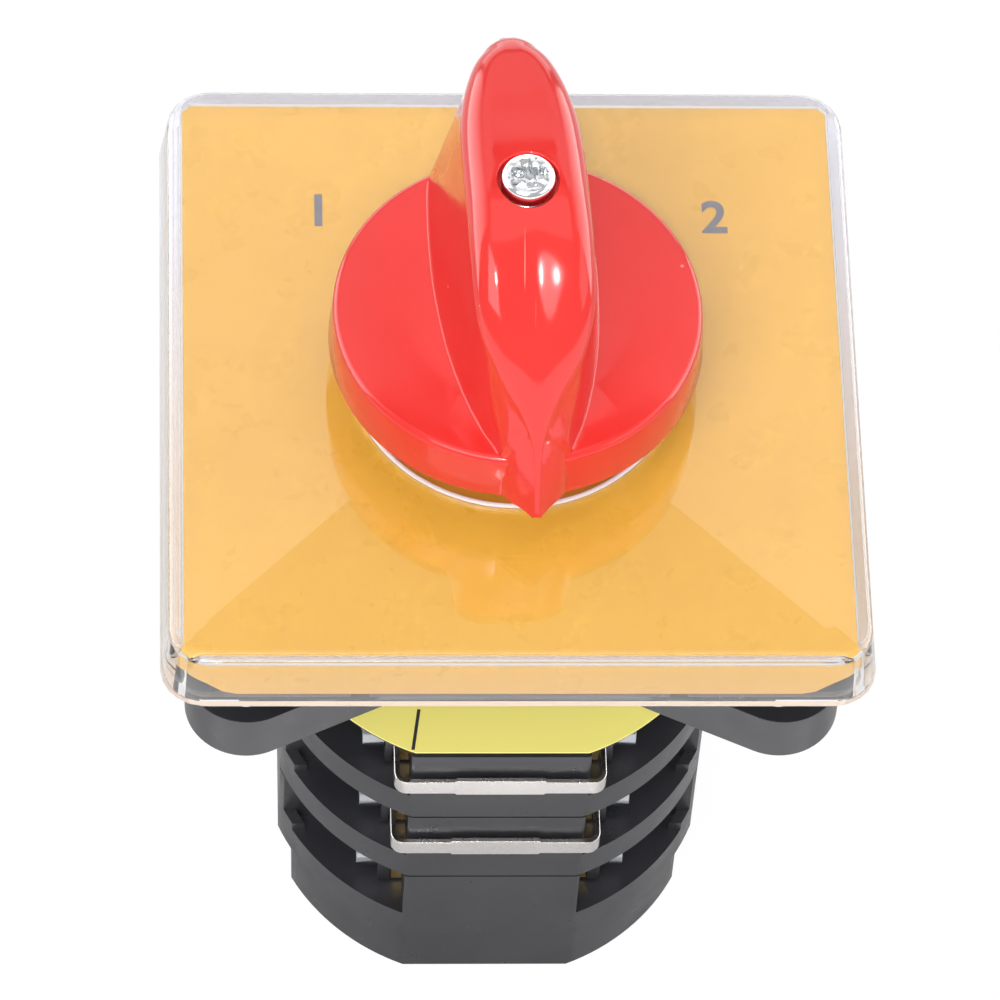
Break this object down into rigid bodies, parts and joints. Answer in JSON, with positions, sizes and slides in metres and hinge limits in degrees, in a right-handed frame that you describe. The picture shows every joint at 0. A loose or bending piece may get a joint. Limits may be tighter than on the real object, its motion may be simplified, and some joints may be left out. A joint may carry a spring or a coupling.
{
  "type": "reversing drum switch",
  "caption": "Panel-mounted rotary reversing switch: a red pointer knob on a square clear-covered plate turns a stack of cam-operated contact stages.",
  "frame": {"origin": "centre of the rear cover's bottom face, on the shaft axis", "axes": "+Z along the shaft from the rear cover to the knob; -Y towards the edge of the plate that the pointer's tip points to at the middle position; +X to the right seen from the front edge"},
  "size_m": [0.09, 0.09, 0.1486],
  "materials": {
    "black_plastic": "moulded phenolic, satin",
    "cream_plastic": "natural moulded nylon",
    "brass": "bare stamped brass",
    "spring_steel": "drawn wire",
    "zinc_steel": "bright zinc plate",
    "nickel": "nickel plated strip",
    "shaft_steel": "drawn steel",
    "label_film": "lemon yellow printed film, bare",
    "yellow_plastic": "warm yellow moulding",
    "clear_plastic": "clear moulding, polished",
    "red_plastic": "glossy red moulding"
  },
  "bodies": {
    "housing": {"rear_cover": "black_plastic", "stage_housing_1": "black_plastic", "stage_housing_2": "black_plastic", "stage_housing_3": "black_plastic", "detent_housing": "black_plastic", "mounting_flange": "black_plastic", "back_plate": "black_plastic", "detent_sliders": "cream_plastic", "terminals_1": "brass", "terminals_2": "brass", "terminals_3": "brass", "contact_spring_1_left": "spring_steel", "contact_spring_1_right": "spring_steel", "contact_spring_2_left": "spring_steel", "contact_spring_2_right": "spring_steel", "contact_spring_3_left": "spring_steel", "contact_spring_3_right": "spring_steel", "detent_springs": "spring_steel", "terminal_screws_1": "zinc_steel", "terminal_screws_2": "zinc_steel", "terminal_screws_3": "zinc_steel", "clamp_washers_1": "zinc_steel", "clamp_washers_2": "zinc_steel", "clamp_washers_3": "zinc_steel", "tie_bolts": "zinc_steel", "detent_rollers": "zinc_steel", "flange_screws": "zinc_steel", "back_plate_screws": "zinc_steel", "strap_1": "nickel", "strap_2": "nickel", "rating_label": "label_film", "legend_plate": "yellow_plastic", "front_cover": "clear_plastic"},
    "rotor": {"shaft": "shaft_steel", "cam_1": "cream_plastic", "cam_2": "cream_plastic", "cam_3": "cream_plastic", "stop_disc": "shaft_steel", "detent_wheel": "shaft_steel", "knob": "red_plastic", "knob_washer": "nickel", "knob_screw": "zinc_steel"},
    "contact_1_left": {"plunger_1_left": "cream_plastic", "bridge_1_left": "brass"},
    "contact_1_right": {"plunger_1_right": "cream_plastic", "bridge_1_right": "brass"},
    "contact_2_left": {"plunger_2_left": "cream_plastic", "bridge_2_left": "brass"},
    "contact_2_right": {"plunger_2_right": "cream_plastic", "bridge_2_right": "brass"},
    "contact_3_left": {"plunger_3_left": "cream_plastic", "bridge_3_left": "brass"},
    "contact_3_right": {"plunger_3_right": "cream_plastic", "bridge_3_right": "brass"}
  },
  "joints": [
    {"name": "knob_turn", "type": "hinge", "parent": "housing", "child": "rotor", "pos_m": [0, 0, 0.11], "axis": [0, 0, 1], "range_deg": [-45, 45]},
    {"name": "contact_1_left_slide", "type": "slide", "parent": "housing", "child": "contact_1_left", "axis": [1, 0, 0], "range_m": [-0.00142, 0.00142], "deforming": ["contact_spring_1_left"]},
    {"name": "contact_1_right_slide", "type": "slide", "parent": "housing", "child": "contact_1_right", "axis": [1, 0, 0], "range_m": [-0.00142, 0.00142], "deforming": ["contact_spring_1_right"]},
    {"name": "contact_2_left_slide", "type": "slide", "parent": "housing", "child": "contact_2_left", "axis": [1, 0, 0], "range_m": [-0.00142, 0.00142], "deforming": ["contact_spring_2_left"]},
    {"name": "contact_2_right_slide", "type": "slide", "parent": "housing", "child": "contact_2_right", "axis": [1, 0, 0], "range_m": [-0.00142, 0.00142], "deforming": ["contact_spring_2_right"]},
    {"name": "contact_3_left_slide", "type": "slide", "parent": "housing", "child": "contact_3_left", "axis": [1, 0, 0], "range_m": [-0.00142, 0.00142], "deforming": ["contact_spring_3_left"]},
    {"name": "contact_3_right_slide", "type": "slide", "parent": "housing", "child": "contact_3_right", "axis": [1, 0, 0], "range_m": [-0.00142, 0.00142], "deforming": ["contact_spring_3_right"]}
  ],
  "couplings": [
    {"joint": "contact_1_left_slide", "follows": "knob_turn", "m_per_rad": 0.0018006},
    {"joint": "contact_1_right_slide", "follows": "knob_turn", "m_per_rad": 0.0018006},
    {"joint": "contact_2_left_slide", "follows": "knob_turn", "m_per_rad": 0.0018006},
    {"joint": "contact_2_right_slide", "follows": "knob_turn", "m_per_rad": 0.0018006},
    {"joint": "contact_3_left_slide", "follows": "knob_turn", "m_per_rad": 0.0018006},
    {"joint": "contact_3_right_slide", "follows": "knob_turn", "m_per_rad": 0.0018006}
  ]
}
